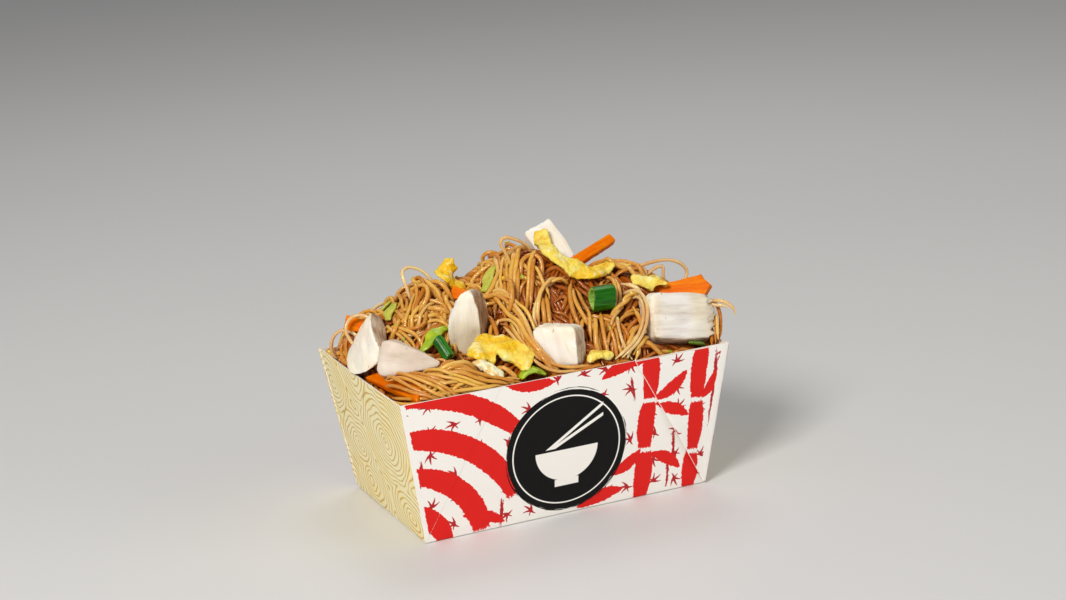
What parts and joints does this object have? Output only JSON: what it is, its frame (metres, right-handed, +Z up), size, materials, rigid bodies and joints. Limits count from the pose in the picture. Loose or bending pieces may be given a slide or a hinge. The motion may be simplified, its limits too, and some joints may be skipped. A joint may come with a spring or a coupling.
{
  "type": "noodle takeaway box",
  "caption": "Tapered folded paperboard tray, open at the top and heaped with fried noodles, sliced chicken, omelette, carrot sticks, spring onion and leek.",
  "frame": {"origin": "middle of the tray's base, on the surface it rests on", "axes": "+X along the long front and back panels, -Y out of the front panel, +Z up"},
  "size_m": [0.1723, 0.1084, 0.1224],
  "materials": {
    "board": "smooth coated paperboard, white with a red and black print on the long panels and gold contour lines on the ends",
    "noodles": "thin fried noodles, glossy with oil, golden brown",
    "chicken": "cooked chicken breast, pale and slightly moist, with fine fibres",
    "omelette": "soft scrambled omelette, yellow with paler folds, slightly moist",
    "carrot": "cut carrot, orange, moist",
    "spring_onion": "dark green onion leaf, smooth and shiny",
    "leek": "pale green leek, smooth, slightly translucent"
  },
  "bodies": {
    "root": {"carton": "board", "noodles": "noodles", "chicken_top": "chicken", "chicken_rear_left": "chicken", "chicken_front_left": "chicken", "chicken_middle": "chicken", "chicken_front": "chicken", "chicken_right": "chicken", "chicken_back": "chicken", "chicken_back_right": "chicken", "egg_top": "omelette", "egg_left": "omelette", "egg_front": "omelette", "egg_curl": "omelette", "egg_right": "omelette", "egg_rim": "omelette", "egg_back": "omelette", "egg_back_left": "omelette", "carrot_top": "carrot", "carrot_right": "carrot", "carrot_front_left": "carrot", "carrot_middle": "carrot", "carrot_rear_left": "carrot", "carrot_back": "carrot", "carrot_back_left": "carrot", "onion_top": "spring_onion", "onion_middle": "spring_onion", "onion_back": "spring_onion", "leek_middle": "leek", "leek_left": "leek", "leek_peak": "leek", "leek_front": "leek", "leek_right": "leek", "leek_back": "leek"}
  },
  "joints": []
}
